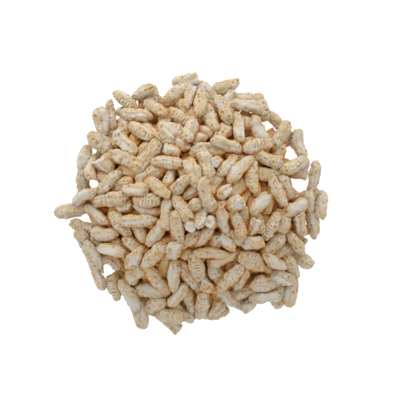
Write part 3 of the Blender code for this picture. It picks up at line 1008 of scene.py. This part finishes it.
def shaded(nodes, color):
    """Painted shade: golden where less light comes in, deeper between the grains, and pale on the rim's
    steep sides.
    """
    upward = nodes.attribute("upward")
    near_rim = nodes.attribute("near_rim")
    sky = nodes.attribute("open_sky")
    lit_side = nodes.math("MAXIMUM", nodes.fitted(upward, -0.6, 1.0, 0.4, 1.15), near_rim)
    shade = nodes.fitted(nodes.product(sky, lit_side), 0.95, 0.42)
    golden = nodes.product(nodes.fitted(near_rim, 0.6, 1.0, 1.0, 0.75), shade)
    deep = nodes.product(nodes.fitted(near_rim, 0.3, 0.9, 0.9, 0.3), nodes.fitted(sky, 0.5, 0.2))
    steep = nodes.fitted(upward, 0.7, 0.25, 0.0, 0.7)
    painted_rim_shade = nodes.product(steep, nodes.fitted(near_rim, 0.5, 0.9), nodes.fitted(sky, 0.74, 0.86))
    return nodes.layered(color, (golden, GOLDEN_SHADE), (deep, DEEP_SHADE), (painted_rim_shade, RIM_SIDE_SHADE))


def dry_relief(nodes, place, spots, pores):
    """The normals of a dry surface: gritty, wrinkled and dimpled, with the spots and pores sunk in it."""
    stretch = {0: place, 1: WRINKLE_SCALES}
    wrinkled = nodes.node("VectorMath", stretch, operation="MULTIPLY").outputs[0]
    wrinkles = nodes.noise(wrinkled, 1.0)
    dimples = nodes.node("TexVoronoi", {"Vector": place, "Scale": DIMPLE_SCALE})
    dimples = nodes.fitted(dimples.outputs["Distance"], 0.0, 0.5)
    grit = nodes.noise(place, GRIT_SCALE, 4.0, 0.7)
    height = nodes.product(grit, 0.5)
    raised = [("ADD", wrinkles, 0.8), ("ADD", dimples, 0.35)]
    sunk = [("SUBTRACT", spots, 0.5), ("SUBTRACT", pores, 0.9)]
    for operation, layer, share in raised + sunk:
        height = nodes.math(operation, height, nodes.product(layer, share))
    bump = {"Strength": 0.7, "Distance": RICE_RELIEF * MM, "Height": height}
    return nodes.node("Bump", bump).outputs["Normal"]


def rice_material(name):
    """Puffed rice: cream with tan patches, brown in its pits, with a fine dry texture."""
    nodes = Nodes(name)
    place = nodes.attribute("grain_place", "Vector")
    mottle = nodes.noise(place, MOTTLE_SCALE, 3.0, 0.6)
    uneven_panel = nodes.math("ADD", nodes.attribute("panel"), nodes.fitted(mottle, 0.3, 0.7, 0.3, -0.4))
    white = nodes.math("MAXIMUM", nodes.attribute("face"), uneven_panel)
    spots, dark_spots = scattered_spots(nodes, place, white)
    pores, pore_color = pore_rows(nodes, white)
    pit = nodes.attribute("pit")
    color = nodes.layered(
        crumb_color(nodes, place, mottle, white),
        (nodes.fitted(pit, 0.3, 0.85, 0.0, 0.9), PIT_TAN),
        (nodes.fitted(pit, 0.85, 1.15, 0.0, 0.6), PIT_BROWN),
        (nodes.product(spots, 0.7), PIT_TAN),
        (nodes.product(pores, 0.9), pore_color),
        (dark_spots, PIT_BROWN),
        (specks(nodes, place), PIT_BROWN),
        (nodes.fitted(nodes.attribute("germ"), 0.3, 0.9, 0.0, 0.85), PIT_BROWN),
    )
    inputs = {
        "Base Color": shaded(nodes, color),
        "Roughness": nodes.fitted(mottle, 0.3, 0.7, 0.5, 0.75),
        "Normal": dry_relief(nodes, place, spots, pores),
        "Specular IOR Level": 0.4,
        "Subsurface Weight": 0.8,
        "Subsurface Radius": SCATTER_SHARES,
        "Subsurface Scale": SCATTER_REACH * MM,
    }
    return nodes.shaded_by(inputs)


def core_material():
    """The heap's depth in painted shade: brown, in lumps of a grain's size, and paler near the table."""
    nodes = Nodes("heap_core")
    place = nodes.node("TexCoord").outputs["Object"]
    lumps = nodes.noise(place, CORE_LUMP_SCALE, 3.0)
    golden = nodes.fitted(lumps, 0.35, 0.65)
    height = nodes.node("SeparateXYZ", {"Vector": place}).outputs["Z"]
    foot = nodes.fitted(height, *(level * MM for level in CORE_FOOT_HEIGHTS))
    color = nodes.layered(CORE_SHADE_BROWN, (golden, CORE_SHADE_GOLDEN), (foot, CORE_FOOT))
    bump = {"Strength": 0.6, "Distance": CORE_RELIEF * MM, "Height": lumps}
    normal = nodes.node("Bump", bump).outputs["Normal"]
    return nodes.shaded_by({"Base Color": color, "Normal": normal, "Roughness": 0.8})


# -------- Camera, table and light. The lamp's and the table's places are in metres.

PHOTO_PIXELS = 400
MM_PER_PIXEL = 0.325  # at the height of the heap's rim
PHOTO_ORIGIN = (196, 203)  # the photo's pixel at the middle of the heap
RIM_HEIGHT = 2.0
LENS = 120.0
SENSOR = 36.0
NEAREST_SEEN = 0.01
TABLE_SIZE = 3.0
TABLE_PLACE = (0, 0, -0.0001)
TABLE_GLOW = 0.95  # a light table: the photo has next to no shadow on it
GREY = (0.2, 0.2, 0.2, 1.0)
WHITE = (1.0, 1.0, 1.0, 1.0)
KEY_PLACE = (-0.05, 0.25, 0.16)
KEY_SIZE = 0.3
KEY_POWER = 0.58  # watts
SKY_STRENGTH = 0.865


def add_camera():
    """The photo's view, straight down."""
    width = PHOTO_PIXELS * MM_PER_PIXEL
    x = (PHOTO_PIXELS / 2 - PHOTO_ORIGIN[0]) * MM_PER_PIXEL
    y = (PHOTO_ORIGIN[1] - PHOTO_PIXELS / 2) * MM_PER_PIXEL
    data = bpy.data.cameras.new("camera")
    data.lens = LENS
    data.sensor_width = SENSOR
    data.clip_start = NEAREST_SEEN
    camera = new_object("camera", data)
    camera.location = (x * MM, y * MM, (RIM_HEIGHT + width * LENS / SENSOR) * MM)
    bpy.context.scene.camera = camera


def add_table():
    """A table that glows white, just under the heap."""
    bpy.ops.mesh.primitive_plane_add(size=TABLE_SIZE, location=TABLE_PLACE)
    table = bpy.context.object
    table.name = "table"
    dull = {"Base Color": GREY, "Roughness": 0.9, "Specular IOR Level": 0.1}
    glow = {"Emission Color": WHITE, "Emission Strength": TABLE_GLOW}
    table.data.materials.append(Nodes("table").shaded_by(dull | glow))


def add_light():
    """A soft key light from the photo's top, aimed at the heap, and an even white sky."""
    data = bpy.data.lights.new("key", "AREA")
    data.size = KEY_SIZE
    data.energy = KEY_POWER
    light = new_object("key", data)
    light.location = KEY_PLACE
    light.rotation_euler = (-light.location).to_track_quat("-Z", "Y").to_euler()
    light.visible_camera = False
    world = bpy.data.worlds.new("studio")
    world.use_nodes = True
    background = world.node_tree.nodes["Background"]
    background.inputs["Color"].default_value = WHITE
    background.inputs["Strength"].default_value = SKY_STRENGTH
    bpy.context.scene.world = world
    bpy.context.scene.view_settings.view_transform = "Standard"


def dress(piece, material):
    """Gives a piece its material, and puts it in the place of the heap's solid."""
    piece.data.materials.append(material)
    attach(piece, "root")
    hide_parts("rice_heap")


def main():
    """Builds the heap and the view of it."""
    pile = laid_pile()
    groups = sorted_grains(pile)
    groups[CRUMB_KIND.name] = crumbs(pile)
    mesh_sizes = {BURIED_KIND.name: BURIED_MESH, CRUMB_KIND.name: CRUMB_MESH}
    for name, members in groups.items():
        piece = joined_grains(name, members, mesh_sizes.get(name, SHOWN_MESH), pile)
        dress(piece, rice_material(name))
    dress(core_object(), core_material())
    add_camera()
    add_table()
    add_light()


main()
